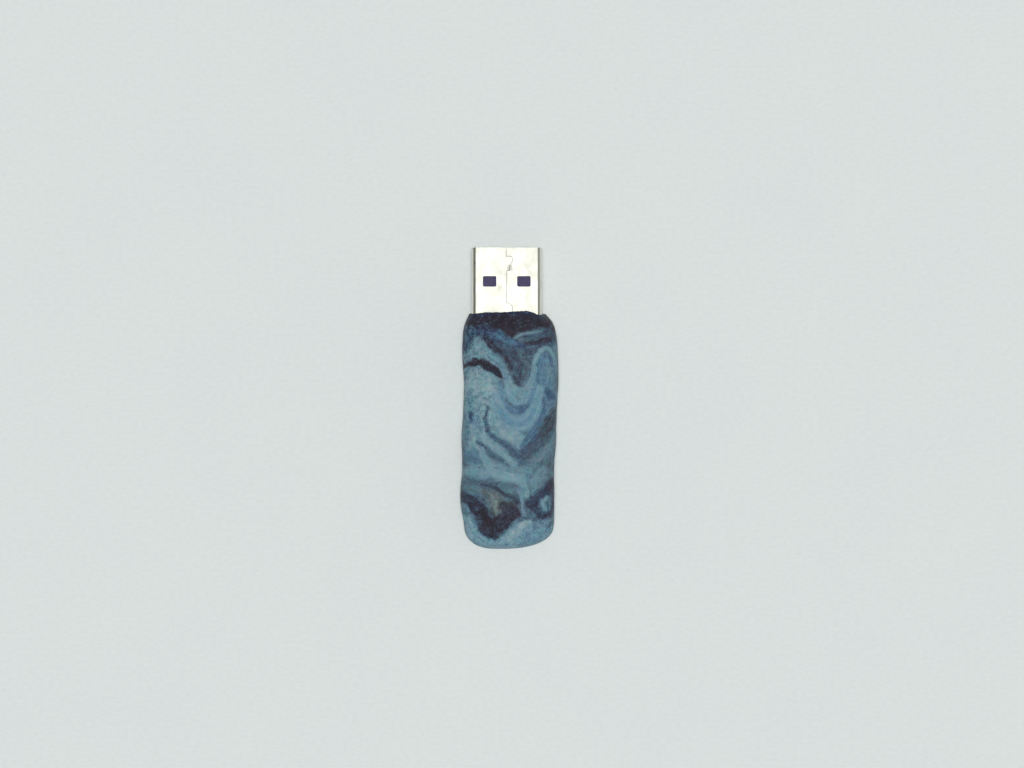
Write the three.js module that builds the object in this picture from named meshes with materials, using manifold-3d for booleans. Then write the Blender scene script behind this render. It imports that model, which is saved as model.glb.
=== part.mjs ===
// A handmade USB flash drive: a bare USB stick inside a hand-moulded body of marbled polymer clay.
//
// Millimetres, +Z up. The drive lies flat with the folded seam of its plug facing up, and the plug
// points along +Y. The origin is on the surface that it lies on, under the middle of its outline.
// The clay is one piece, moulded round the stick. Inside it are the plug, the circuit board that
// hangs on the plug's contacts, the board's parts, and a dab of epoxy that grips the board's end.

import * as THREE from 'three';
import Module from 'manifold-3d';
import { mergeVertices, toCreasedNormals } from 'three/addons/utils/BufferGeometryUtils.js';
import { LoftGeometry } from 'three/addons/geometries/LoftGeometry.js';
import { RoundedBoxGeometry } from 'three/addons/geometries/RoundedBoxGeometry.js';

const wasm = await Module();
wasm.setup();

// ---------------------------------------------------------------- driving dimensions

const DRIVE_LENGTH = 51.7;
const CLAY_HEIGHT = 8.6;

// The plug is a standard USB-A plug. Depths are measured back from its tip.
const PLUG_WIDTH = 12.0;
const PLUG_HEIGHT = 4.5;
const PLUG_LENGTH = 18.75;
const PLUG_EXPOSED = 11.4;
const SHEET = 0.3;
const BEND_RADIUS = 0.8;
const WINDOW = { width: 2.3, length: 1.8, depth: 4.9, offset: 2.93, corner: 0.25 };
const SEAM_GAP = 0.07;

// The plug leaves the clay a little left of the middle and at half the clay's height.
const PLUG_X = -0.45;
const PLUG_Z = CLAY_HEIGHT / 2;
const TIP_Y = DRIVE_LENGTH / 2;
const MOUTH_Y = TIP_Y - PLUG_EXPOSED;

// The insulator fills the upper half of the plug, and the contacts lie in its lower face.
const INSULATOR = {
  thickness: 1.95,
  clearance: 0.08,
  chamfer: 0.35,
  front: 0.4,
  block: 12.4,
  blockInset: 0.3,
  rear: 15.7,
  grooveRoom: 0.06,
  passageRoom: 0.15,
};
const SPRING_RECESS = { width: 2.7, margin: 0.3, deep: 0.7 };
const CONTACT = { width: 1.0, thickness: 0.25, groove: 0.12, nose: 0.35, tailEnd: 18.6 };
const CONTACT_OFFSETS = { power: 3.5, data: 1.0 };
const CONTACT_FRONTS = { power: 1.4, data: 2.4 };

// The board sits level with the plug's middle: a narrow tongue inside the shell, then full width.
const BOARD = {
  width: 12.2,
  thickness: 1.0,
  tongueWidth: 10.6,
  front: 16.6,
  step: 19.1,
  end: 46.4,
  corner: 1.0,
};
const BOARD_TOP = PLUG_Z + BOARD.thickness / 2;
const BOARD_UNDER = PLUG_Z - BOARD.thickness / 2;

// Room that the clay leaves round the stick, and the hair's breadth under each soldered part.
const CLAY_GAP = 0.15;
const POCKET_END = 46.9;
const SEAT = 0.02;

// Hand-moulded outline, from the mouth towards the tail: how far behind the mouth, the left and
// right edges, the underside and the top. The far left and right edges are both 8.45 mm out. An
// underside below the table is pressed flat on it.
const CLAY_STATIONS = [
  [0.0, -6.95, 6.3, 1.25, 7.35],
  [0.8, -7.33, 7.1, 0.55, 7.9],
  [2.4, -7.9, 7.95, -0.3, 8.35],
  [6.0, -8.15, 8.32, -0.5, 8.5],
  [11.5, -7.84, 8.45, -0.5, 8.6],
  [17.0, -7.95, 8.2, -0.5, 8.5],
  [21.0, -8.2, 8.12, -0.5, 8.55],
  [24.0, -8.12, 7.88, -0.5, 8.58],
  [27.0, -8.08, 7.68, -0.5, 8.56],
  [30.0, -8.43, 7.72, -0.5, 8.5],
  [33.0, -8.36, 7.7, -0.45, 8.4],
  [36.0, -7.82, 7.67, -0.4, 8.2],
];
// The tail is a blunt dome that closes at one point, left of the middle.
const TAIL = { x: -2.0, z: 4.1, bluntness: 2.4 };
const RING_POINTS = 44;
const BODY_RINGS = 34;
const TAIL_RINGS = 11;
const SQUARENESS = 2.9;

// ---------------------------------------------------------------- materials

function finish(color, roughness, metalness = 0) {
  return new THREE.MeshStandardMaterial({ color, roughness, metalness });
}

const clay = finish(0x5e7787, 0.62);
const steel = finish(0xc9cccf, 0.28, 1);
const blackPlastic = finish(0x1a181e, 0.5);
const goldPlate = finish(0xd8b35a, 0.3, 1);
const greenBoard = finish(0x1f5c3c, 0.45);
const chipPlastic = finish(0x1d1e20, 0.6);
const crystalMetal = finish(0xbfc1c2, 0.3, 1);
const ceramicTan = finish(0xb4976c, 0.5);
const ceramicBlack = finish(0x232326, 0.4);
const lampPlastic = finish(0xe7ead9, 0.3);
const solderMetal = finish(0xb4b8bb, 0.35, 1);
const epoxy = finish(0xcdb886, 0.25);

// ---------------------------------------------------------------- solids and placing

function toSolid(geometry) {
  const bare = new THREE.BufferGeometry();
  bare.setAttribute('position', geometry.getAttribute('position'));
  bare.setIndex(geometry.getIndex());
  const merged = mergeVertices(bare, 1e-4);
  return new wasm.Manifold(new wasm.Mesh({
    numProp: 3,
    vertProperties: new Float32Array(merged.attributes.position.array),
    triVerts: new Uint32Array(merged.index.array),
  }));
}

function toGeometry(solid) {
  const mesh = solid.getMesh();
  const geometry = new THREE.BufferGeometry();
  geometry.setAttribute('position', new THREE.BufferAttribute(mesh.vertProperties, 3));
  geometry.setIndex(new THREE.BufferAttribute(mesh.triVerts, 1));
  return toCreasedNormals(geometry, Math.PI / 6);
}

function cut(base, tools) {
  const solid = tools.reduce((kept, tool) => kept.subtract(toSolid(tool)), toSolid(base));
  return toGeometry(solid);
}

function join(base, others) {
  const solid = others.reduce((sum, other) => sum.add(toSolid(other)), toSolid(base));
  return toGeometry(solid);
}

// A box between two corners, each given as [x, depth behind the plug's tip, z].
function boxBetween([x1, depth1, z1], [x2, depth2, z2]) {
  const box = new THREE.BoxGeometry(Math.abs(x2 - x1), Math.abs(depth2 - depth1), Math.abs(z2 - z1));
  return box.translate((x1 + x2) / 2, TIP_Y - (depth1 + depth2) / 2, (z1 + z2) / 2);
}

function roundedRectangle(width, height, radius) {
  const right = width / 2 - radius;
  const top = height / 2 - radius;
  const shape = new THREE.Shape();
  shape.absarc(right, top, radius, 0, Math.PI / 2);
  shape.absarc(-right, top, radius, Math.PI / 2, Math.PI);
  shape.absarc(-right, -top, radius, Math.PI, Math.PI * 1.5);
  shape.absarc(right, -top, radius, Math.PI * 1.5, Math.PI * 2);
  return shape;
}

// Extrudes a section drawn in x and z back from one depth to another.
function extrudeBack(shape, fromDepth, toDepth, curveSegments = 6) {
  const bar = new THREE.ExtrudeGeometry(shape, {
    depth: toDepth - fromDepth,
    bevelEnabled: false,
    curveSegments,
  });
  return bar.rotateX(Math.PI / 2).translate(PLUG_X, TIP_Y - fromDepth, PLUG_Z);
}

// Extrudes a side view drawn in depth and z across the given width, centred on x.
function extrudeAcross(outline, x, width) {
  const shape = new THREE.Shape(outline.map(([depth, z]) => new THREE.Vector2(-depth, z)));
  const bar = new THREE.ExtrudeGeometry(shape, { depth: width, bevelEnabled: false });
  return bar.rotateX(Math.PI / 2).rotateZ(Math.PI / 2).translate(x - width / 2, TIP_Y, 0);
}

const drive = new THREE.Group();

function addPiece(name, geometry, material) {
  const mesh = new THREE.Mesh(geometry, material);
  mesh.name = name;
  drive.add(mesh);
  return mesh;
}

// ---------------------------------------------------------------- clay sleeve

// One cross-section of the clay: a soft square, flattened where it lies on the table.
function claySection(behindMouth, left, right, under, top) {
  const middleX = (left + right) / 2;
  const middleZ = (Math.max(under, 0) + top) / 2;
  const halfWidth = (right - left) / 2;
  const soften = (value) => Math.sign(value) * Math.abs(value) ** (2 / SQUARENESS);
  const ring = [];
  for (let i = 0; i < RING_POINTS; i++) {
    const angle = (i / RING_POINTS) * 2 * Math.PI;
    const rise = soften(Math.sin(angle));
    const z = middleZ + rise * (rise > 0 ? top - middleZ : middleZ - under);
    ring.push(new THREE.Vector3(
      middleX + halfWidth * soften(Math.cos(angle)),
      MOUTH_Y - behindMouth,
      Math.max(z, 0),
    ));
  }
  return ring;
}

function clayRings() {
  const curveThrough = (columns) => new THREE.CatmullRomCurve3(
    CLAY_STATIONS.map((station) => new THREE.Vector3(...columns.map((column) => station[column]))),
    false,
    'catmullrom',
  );
  const edges = curveThrough([0, 1, 2]);
  const heights = curveThrough([0, 3, 4]);
  const rings = [];
  for (let i = 0; i <= BODY_RINGS; i++) {
    const edge = edges.getPoint(i / BODY_RINGS);
    const height = heights.getPoint(i / BODY_RINGS);
    rings.push(claySection(edge.x, edge.y, edge.z, height.y, height.z));
  }
  const [tailStart, left, right, under, top] = CLAY_STATIONS.at(-1);
  const tailLength = DRIVE_LENGTH - PLUG_EXPOSED - tailStart;
  const ringsToTip = TAIL_RINGS + 0.4;
  for (let i = 1; i <= TAIL_RINGS; i++) {
    const angle = (i / ringsToTip) * (Math.PI / 2);
    const reach = Math.sin(angle) ** (2 / TAIL.bluntness);
    const spread = Math.cos(angle) ** (2 / TAIL.bluntness);
    const towards = (target, value) => target + (value - target) * spread;
    rings.push(claySection(
      tailStart + tailLength * reach,
      towards(TAIL.x, left),
      towards(TAIL.x, right),
      towards(TAIL.z, under),
      towards(TAIL.z, top),
    ));
  }
  return rings;
}

function claySleeve() {
  const body = new LoftGeometry(clayRings(), { capStart: true, capEnd: true });
  const pocketShape = roundedRectangle(
    PLUG_WIDTH + 2 * CLAY_GAP,
    PLUG_HEIGHT + 2 * CLAY_GAP,
    BEND_RADIUS + CLAY_GAP,
  );
  return cut(body, [extrudeBack(pocketShape, PLUG_EXPOSED - 1, POCKET_END)]);
}

// ---------------------------------------------------------------- plug

// The folded seam runs down the middle of the top, with a dovetail tab near the tip and another
// at the clay's mouth. Each stretch of its line, given as [depth, x], is sawn out with a blade as
// thick as the gap. Beside the first tab a locking dent is pressed into the sheet, deeper towards
// its rear.
const SEAM_LINE = [
  [-1, -0.1], [1.5, -0.1], [1.5, 0.75], [1.75, 0.95], [2.4, 0.95], [2.95, 0.55], [3.95, 0.45],
  [3.95, 0.0], [9.5, 0.0], [9.65, 0.6], [10.0, 0.95], [10.8, 1.0], [11.2, 0.75], [11.8, 0.0],
  [PLUG_LENGTH + 1, 0.0],
];
const LOCKING_DENT = { width: 0.85, start: 2.95, end: 3.95, x: 0.54, shallow: 0.02, deep: 0.18 };
// The underside is cut back at the rear so that the contacts can be soldered to the board.
const SOLDERING_GAP = { sideWall: 1.2, start: 17.2 };

function seamBlades() {
  return SEAM_LINE.slice(1).map(([depth, x], i) => {
    const [fromDepth, fromX] = SEAM_LINE[i];
    const length = Math.hypot(depth - fromDepth, x - fromX) + SEAM_GAP;
    const blade = new THREE.BoxGeometry(length, SEAM_GAP, 3 * SHEET);
    blade.rotateZ(Math.atan2(fromDepth - depth, x - fromX));
    return blade.translate(
      PLUG_X + (x + fromX) / 2,
      TIP_Y - (depth + fromDepth) / 2,
      PLUG_Z + PLUG_HEIGHT / 2 - SHEET / 2,
    );
  });
}

function dentPunch() {
  const { width, start, end, x, shallow, deep } = LOCKING_DENT;
  const top = PLUG_Z + PLUG_HEIGHT / 2;
  const outline = [
    [start, top - shallow],
    [end, top - deep],
    [end, top + SHEET],
    [start, top + SHEET],
  ];
  return extrudeAcross(outline, PLUG_X + x, width);
}

// A window is punched through the top and the bottom alike.
function windowPunch(side) {
  const punch = new THREE.ExtrudeGeometry(
    roundedRectangle(WINDOW.width, WINDOW.length, WINDOW.corner),
    { depth: CLAY_HEIGHT, bevelEnabled: false, curveSegments: 4 },
  );
  const middle = TIP_Y - WINDOW.depth - WINDOW.length / 2;
  return punch.translate(PLUG_X + side * WINDOW.offset, middle, 0);
}

function plugShell() {
  const outline = roundedRectangle(PLUG_WIDTH, PLUG_HEIGHT, BEND_RADIUS);
  const hollow = roundedRectangle(
    PLUG_WIDTH - 2 * SHEET,
    PLUG_HEIGHT - 2 * SHEET,
    BEND_RADIUS - SHEET,
  );
  outline.holes.push(hollow);
  const gapHalfWidth = PLUG_WIDTH / 2 - SOLDERING_GAP.sideWall;
  const solderingGap = boxBetween(
    [PLUG_X - gapHalfWidth, SOLDERING_GAP.start, -1],
    [PLUG_X + gapHalfWidth, PLUG_LENGTH + 1, PLUG_Z - PLUG_HEIGHT / 2 + 2 * SHEET],
  );
  const tools = [windowPunch(-1), windowPunch(1), solderingGap, dentPunch(), ...seamBlades()];
  return cut(extrudeBack(outline, 0, PLUG_LENGTH), tools);
}

const INSULATOR_TOP = PLUG_Z + PLUG_HEIGHT / 2 - SHEET - INSULATOR.clearance;
const INSULATOR_UNDER = INSULATOR_TOP - INSULATOR.thickness;
const CONTACT_TOP = INSULATOR_UNDER + CONTACT.groove;

const CONTACTS = [
  { name: 'vbus', x: PLUG_X + CONTACT_OFFSETS.power, front: CONTACT_FRONTS.power },
  { name: 'data_minus', x: PLUG_X + CONTACT_OFFSETS.data, front: CONTACT_FRONTS.data },
  { name: 'data_plus', x: PLUG_X - CONTACT_OFFSETS.data, front: CONTACT_FRONTS.data },
  { name: 'ground', x: PLUG_X - CONTACT_OFFSETS.power, front: CONTACT_FRONTS.power },
];

function plugInsulator() {
  const halfWidth = PLUG_WIDTH / 2 - SHEET - INSULATOR.clearance;
  const shellFloor = PLUG_Z - PLUG_HEIGHT / 2 + SHEET + INSULATOR.clearance;
  const contactUnder = CONTACT_TOP - CONTACT.thickness;
  const grooveHalf = CONTACT.width / 2 + INSULATOR.grooveRoom;
  const passageHalf = CONTACT.width / 2 + INSULATOR.passageRoom;
  const top = INSULATOR_TOP - PLUG_Z;
  const under = INSULATOR_UNDER - PLUG_Z;
  const chamferedBar = new THREE.Shape([
    new THREE.Vector2(-halfWidth, under),
    new THREE.Vector2(halfWidth, under),
    new THREE.Vector2(halfWidth, top - INSULATOR.chamfer),
    new THREE.Vector2(halfWidth - INSULATOR.chamfer, top),
    new THREE.Vector2(INSULATOR.chamfer - halfWidth, top),
    new THREE.Vector2(-halfWidth, top - INSULATOR.chamfer),
  ]);
  const tongue = extrudeBack(chamferedBar, INSULATOR.front, INSULATOR.rear);
  const block = boxBetween(
    [PLUG_X - halfWidth + INSULATOR.blockInset, INSULATOR.block, shellFloor],
    [PLUG_X + halfWidth - INSULATOR.blockInset, INSULATOR.rear, PLUG_Z],
  );
  const grooves = CONTACTS.map(({ x, front }) => boxBetween(
    [x - grooveHalf, front - INSULATOR.grooveRoom, INSULATOR_UNDER - 1],
    [x + grooveHalf, INSULATOR.block, CONTACT_TOP + INSULATOR.grooveRoom / 2],
  ));
  const passages = CONTACTS.map(({ x }) => boxBetween(
    [x - passageHalf, INSULATOR.block - 0.5, contactUnder - INSULATOR.passageRoom],
    [x + passageHalf, INSULATOR.rear + 1, CONTACT_TOP + INSULATOR.passageRoom],
  ));
  const springRecesses = [-1, 1].map((side) => {
    const { width, margin, deep } = SPRING_RECESS;
    const middle = PLUG_X + side * WINDOW.offset;
    return boxBetween(
      [middle - width / 2, WINDOW.depth - margin, INSULATOR_TOP - deep],
      [middle + width / 2, WINDOW.depth + WINDOW.length + margin, INSULATOR_TOP + 1],
    );
  });
  return cut(join(tongue, [block]), [...grooves, ...passages, ...springRecesses]);
}

// A contact strip with a turned-up nose, and a tail that steps down under the board.
function contactStrip(x, front) {
  const top = CONTACT_TOP;
  const under = CONTACT_TOP - CONTACT.thickness;
  const tailTop = BOARD_UNDER - SEAT;
  const tailUnder = tailTop - CONTACT.thickness;
  const stepStart = INSULATOR.rear + 0.1;
  const stepEnd = BOARD.front - 0.2;
  const outline = [
    [front, top], [front + CONTACT.nose, under], [stepStart, under], [stepEnd, tailUnder],
    [CONTACT.tailEnd, tailUnder], [CONTACT.tailEnd, tailTop], [stepEnd + 0.1, tailTop],
    [stepStart + 0.1, top],
  ];
  return extrudeAcross(outline, x, CONTACT.width);
}

// ---------------------------------------------------------------- board and its parts

function circuitBoard() {
  const { front, step, end, corner } = BOARD;
  const side = BOARD.width / 2;
  const tongue = BOARD.tongueWidth / 2;
  const shape = new THREE.Shape();
  shape.moveTo(-tongue, -front);
  shape.lineTo(-tongue, -step);
  shape.lineTo(-side, -step);
  shape.lineTo(-side, corner - end);
  shape.absarc(corner - side, corner - end, corner, Math.PI, Math.PI * 1.5);
  shape.absarc(side - corner, corner - end, corner, Math.PI * 1.5, Math.PI * 2);
  shape.lineTo(side, -step);
  shape.lineTo(tongue, -step);
  shape.lineTo(tongue, -front);
  const slab = new THREE.ExtrudeGeometry(shape, {
    depth: BOARD.thickness,
    bevelEnabled: false,
    curveSegments: 5,
  });
  return slab.translate(PLUG_X, TIP_Y, BOARD_UNDER);
}

// Parts lie on the board's top face, or on its underside when their side is 'under'. Each is made
// lying on z = 0 at x = 0, y = 0, then turned over if need be and moved to its place.
function placeOnBoard(geometry, { x, depth, side = 'top' }) {
  if (side === 'under') {
    geometry.rotateY(Math.PI);
  }
  const z = side === 'top' ? BOARD_TOP + SEAT : BOARD_UNDER - SEAT;
  return geometry.translate(PLUG_X + x, TIP_Y - depth, z);
}

// A gull-wing lead that leaves a package at half its height, steps down and ends in a foot.
function gullWingLead({ bodyEdge, toe, height, width, along }) {
  const metal = 0.15;
  const rooted = bodyEdge - 0.2;
  const shoulder = bodyEdge + 0.22;
  const heel = shoulder + 0.1;
  const instep = heel + 0.1;
  const shape = new THREE.Shape([
    new THREE.Vector2(rooted, height / 2 - metal),
    new THREE.Vector2(shoulder, height / 2 - metal),
    new THREE.Vector2(heel, 0),
    new THREE.Vector2(toe, 0),
    new THREE.Vector2(toe, metal),
    new THREE.Vector2(instep, metal),
    new THREE.Vector2(heel, height / 2),
    new THREE.Vector2(rooted, height / 2),
  ]);
  const lead = new THREE.ExtrudeGeometry(shape, { depth: width, bevelEnabled: false });
  return lead.rotateX(Math.PI / 2).translate(0, along + width / 2, 0);
}

// A moulded package with rows of leads. Each row is the angle of the side that it leaves from.
function leadedPackage({ length, width, height, toe, pitch, leads, leadWidth, sides }) {
  const standoff = 0.06;
  const edge = 0.12;
  const body = new RoundedBoxGeometry(length, width, height - standoff, 1, edge);
  body.translate(0, 0, (height + standoff) / 2);
  const rows = sides.flatMap((angle) => {
    const bodyEdge = (angle % 180 === 0 ? length : width) / 2;
    return Array.from({ length: leads }, (_, i) => {
      const along = (i - (leads - 1) / 2) * pitch;
      const lead = gullWingLead({ bodyEdge, toe: bodyEdge + toe, height, width: leadWidth, along });
      return lead.rotateZ(THREE.MathUtils.degToRad(angle));
    });
  });
  return join(body, rows);
}

// A ceramic block with a raised metal cap on each end, as capacitors and resistors have.
function chipComponent({ length, width, height, cap = 0.3, lip = 0.03 }) {
  const body = new THREE.BoxGeometry(length - 2 * lip, width - 2 * lip, height - 2 * lip);
  const caps = [-1, 1].map((end) => {
    const block = new THREE.BoxGeometry(cap, width, height);
    return block.translate(end * (length - cap) / 2, 0, 0);
  });
  return join(body, caps).translate(0, 0, height / 2);
}

function memoryChip() {
  const package48 = leadedPackage({
    length: 18.4, width: 12.0, height: 1.1, toe: 0.8,
    pitch: 0.5, leads: 24, leadWidth: 0.22, sides: [0, 180],
  });
  return placeOnBoard(package48.rotateZ(Math.PI / 2), { x: 0, depth: 34.9 });
}

function controllerChip() {
  const quad = leadedPackage({
    length: 7, width: 7, height: 1.35, toe: 1.0,
    pitch: 0.5, leads: 12, leadWidth: 0.22, sides: [0, 90, 180, 270],
  });
  return placeOnBoard(quad, { x: 0, depth: 27.0, side: 'under' });
}

// A three-legged regulator: two leads on one side and one in the middle of the other.
function voltageRegulator() {
  const size = { length: 2.9, width: 1.3, height: 1.0, standoff: 0.1, edge: 0.1 };
  const leadOffset = 0.95;
  const body = new RoundedBoxGeometry(size.length, size.width, size.height, 1, size.edge);
  body.translate(0, 0, size.standoff + size.height / 2);
  const leadAt = (along, angle) => {
    const lead = gullWingLead({
      bodyEdge: size.width / 2,
      toe: 1.2,
      height: size.height + size.standoff,
      width: 0.4,
      along,
    });
    return lead.rotateZ(THREE.MathUtils.degToRad(angle));
  };
  const leads = [leadAt(leadOffset, 90), leadAt(-leadOffset, 90), leadAt(0, 270)];
  return placeOnBoard(join(body, leads), { x: -3.4, depth: 22.6 });
}

// A rounded block that stands between two heights.
function roundedBlock(length, width, fromZ, toZ, radius, segments) {
  const block = new RoundedBoxGeometry(length, width, toZ - fromZ, segments, radius);
  return block.translate(0, 0, (fromZ + toZ) / 2);
}

// A crystal in a welded metal can on a wider foot.
function crystalCan() {
  const foot = roundedBlock(5.0, 3.2, 0, 0.35, 0.1, 1);
  const lid = roundedBlock(4.5, 2.7, 0.25, 1.15, 0.25, 2);
  return placeOnBoard(join(foot, [lid]), { x: 1.6, depth: 35.2, side: 'under' });
}

// A lamp: a plated block with a clear dome cast on it.
function activityLed() {
  const base = roundedBlock(1.6, 0.8, 0, 0.35, 0.05, 1);
  const lens = roundedBlock(1.1, 0.76, 0.25, 0.75, 0.15, 2);
  return placeOnBoard(join(base, [lens]), { x: 0, depth: 44.0, side: 'under' });
}

const SMALL_CAPACITOR = { length: 1.6, width: 0.8, height: 0.8 };
const LARGE_CAPACITOR = { length: 2.0, width: 1.25, height: 1.1, cap: 0.4 };
const RESISTOR = { length: 1.6, width: 0.8, height: 0.45 };

const CHIP_COMPONENTS = [
  { name: 'input_capacitor', size: LARGE_CAPACITOR, material: ceramicTan, x: 0.4, depth: 21.2 },
  { name: 'output_capacitor', size: LARGE_CAPACITOR, material: ceramicTan, x: 0.4, depth: 23.4 },
  { name: 'ferrite_bead', size: SMALL_CAPACITOR, material: ceramicBlack, x: 3.9, depth: 20.8 },
  { name: 'data_resistor_1', size: RESISTOR, material: ceramicBlack, x: 3.9, depth: 22.3 },
  { name: 'data_resistor_2', size: RESISTOR, material: ceramicBlack, x: 3.9, depth: 23.8 },
  {
    name: 'crystal_capacitor_1', size: SMALL_CAPACITOR, material: ceramicTan,
    x: -3.6, depth: 34.2, side: 'under',
  },
  {
    name: 'crystal_capacitor_2', size: SMALL_CAPACITOR, material: ceramicTan,
    x: -3.6, depth: 36.2, side: 'under',
  },
  {
    name: 'memory_capacitor', size: SMALL_CAPACITOR, material: ceramicTan,
    x: -2.6, depth: 40.0, side: 'under',
  },
  {
    name: 'lamp_resistor', size: RESISTOR, material: ceramicBlack,
    x: 2.6, depth: 41.6, side: 'under',
  },
];

// ---------------------------------------------------------------- solder and epoxy

// A drop of metal: a flattened ball that ends flat against the board.
function drop(length, width, height) {
  const ball = new THREE.SphereGeometry(1, 12, 8).scale(length / 2, width / 2, height);
  const below = new THREE.BoxGeometry(2 * length, 2 * width, height).translate(0, 0, -height / 2);
  return cut(ball, [below]);
}

function contactSolder(x) {
  return placeOnBoard(drop(1.3, 0.7, 0.4), { x, depth: CONTACT.tailEnd + 0.4, side: 'under' });
}

function shellSolder(side) {
  const place = { x: side * (BOARD.width / 2 - 1.0), depth: PLUG_LENGTH + 1.15 };
  return placeOnBoard(drop(1.7, 1.5, 0.9), place);
}

// Epoxy poured in at the tail before the stick: the board's end stands in a slot in it.
const EPOXY = { width: 8.0, height: 3.6, corner: 1.2, grip: 1.2, room: 0.1 };

function epoxyDab() {
  const { width, height, corner, grip, room } = EPOXY;
  const outline = roundedRectangle(width, height, corner);
  const block = extrudeBack(outline, BOARD.end - grip, POCKET_END - SEAT);
  const slot = boxBetween(
    [PLUG_X - BOARD.width / 2, BOARD.end - 2 * grip, BOARD_UNDER - room],
    [PLUG_X + BOARD.width / 2, BOARD.end + room, BOARD_TOP + room],
  );
  return cut(block, [slot]);
}

// ---------------------------------------------------------------- assembly

addPiece('clay_sleeve', claySleeve(), clay);
addPiece('plug_shell', plugShell(), steel);
addPiece('plug_insulator', plugInsulator(), blackPlastic);
for (const { name, x, front } of CONTACTS) {
  addPiece(`contact_${name}`, contactStrip(x, front), goldPlate);
  addPiece(`solder_${name}`, contactSolder(x - PLUG_X), solderMetal);
}
addPiece('circuit_board', circuitBoard(), greenBoard);
addPiece('memory_chip', memoryChip(), chipPlastic);
addPiece('controller_chip', controllerChip(), chipPlastic);
addPiece('voltage_regulator', voltageRegulator(), chipPlastic);
addPiece('crystal_can', crystalCan(), crystalMetal);
addPiece('activity_led', activityLed(), lampPlastic);
for (const { name, size, material, ...place } of CHIP_COMPONENTS) {
  addPiece(name, placeOnBoard(chipComponent(size), place), material);
}
addPiece('shell_solder_left', shellSolder(-1), solderMetal);
addPiece('shell_solder_right', shellSolder(1), solderMetal);
addPiece('epoxy_dab', epoxyDab(), epoxy);

export default drive;
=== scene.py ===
"""A handmade USB flash drive: a bare USB stick in a hand-moulded body of marbled polymer clay.

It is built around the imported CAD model. The clay and the plug get finer pieces that stand for
their CAD nodes; the parts hidden in the clay keep their CAD shapes and get better materials.
Lengths here are in millimetres until a mesh or an object is made, and Blender's are in metres.
"""
import math

import bmesh
import bpy
import numpy as np
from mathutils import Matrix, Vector
from mathutils.bvhtree import BVHTree


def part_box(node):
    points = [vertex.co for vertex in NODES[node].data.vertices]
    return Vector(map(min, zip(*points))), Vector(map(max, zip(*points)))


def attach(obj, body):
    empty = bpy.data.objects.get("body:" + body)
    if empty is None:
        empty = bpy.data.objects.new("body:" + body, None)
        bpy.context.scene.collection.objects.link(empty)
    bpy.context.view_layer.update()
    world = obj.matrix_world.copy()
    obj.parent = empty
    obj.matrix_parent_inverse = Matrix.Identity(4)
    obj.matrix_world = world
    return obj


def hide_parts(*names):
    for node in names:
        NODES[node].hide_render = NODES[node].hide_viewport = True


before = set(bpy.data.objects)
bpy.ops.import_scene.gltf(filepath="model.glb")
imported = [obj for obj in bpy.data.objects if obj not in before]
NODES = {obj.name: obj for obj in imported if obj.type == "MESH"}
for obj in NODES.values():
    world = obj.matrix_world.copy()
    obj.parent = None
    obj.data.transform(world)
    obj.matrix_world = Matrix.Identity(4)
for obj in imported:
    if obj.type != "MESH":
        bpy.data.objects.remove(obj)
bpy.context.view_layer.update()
# A millimetre in Blender's metres.
MM = 0.001


def box_mm(node):
    """Lowest and highest corners of a CAD node, in millimetres."""
    low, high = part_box(node)
    return np.array(low) / MM, np.array(high) / MM


CLAY_LOW, CLAY_HIGH = box_mm("clay_sleeve")
SHELL_LOW, SHELL_HIGH = box_mm("plug_shell")
BOARD_LOW, BOARD_HIGH = box_mm("circuit_board")
MOUTH_Y = CLAY_HIGH[1]
TIP_Y = SHELL_HIGH[1]
PLUG_X = (SHELL_LOW[0] + SHELL_HIGH[0]) / 2
PLUG_Z = (SHELL_LOW[2] + SHELL_HIGH[2]) / 2
PLUG_HALF = ((SHELL_HIGH[0] - SHELL_LOW[0]) / 2, (SHELL_HIGH[2] - SHELL_LOW[2]) / 2)

# ------------------------------------------------------------------ camera, floor and light

# In millimetres. The offset is how far right and forward of the frame's origin the camera is.
CAMERA_HEIGHT = 420.0
CAMERA_OFFSET = (0.45, 2.5)
LENS = 85.0


def make_camera():
    """Looks straight down, with the plug pointing up the picture."""
    data = bpy.data.cameras.new("camera")
    data.lens = LENS
    data.sensor_width = 36
    data.clip_start = 0.01
    data.clip_end = 20
    camera = bpy.data.objects.new("camera", data)
    camera.location = (CAMERA_OFFSET[0] * MM, CAMERA_OFFSET[1] * MM, CAMERA_HEIGHT * MM)
    bpy.context.scene.collection.objects.link(camera)
    bpy.context.scene.camera = camera


def make_lamp(softness, energy):
    """A sun straight overhead, softness degrees across, that lights only what is rough."""
    data = bpy.data.lights.new("lamp", "SUN")
    data.angle = math.radians(softness)
    data.energy = energy
    lamp = bpy.data.objects.new("lamp", data)
    lamp.visible_glossy = False
    bpy.context.scene.collection.objects.link(lamp)


def make_card(place, size, energy):
    """A wide dim disc overhead that is only seen in what is glossy."""
    data = bpy.data.lights.new("card", "AREA")
    data.shape = "DISK"
    data.size = size
    data.energy = energy
    card = bpy.data.objects.new("card", data)
    card.location = place
    card.visible_diffuse = False
    bpy.context.scene.collection.objects.link(card)


# The sky is pale round the horizon, dim above it, and bright again overhead, round the edge of the
# card: (sine of elevation, strength).
SKY = ((0.0, 0.80), (0.12, 0.72), (0.30, 0.27), (0.94, 0.17), (0.968, 0.62), (1.0, 0.62))


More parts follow.
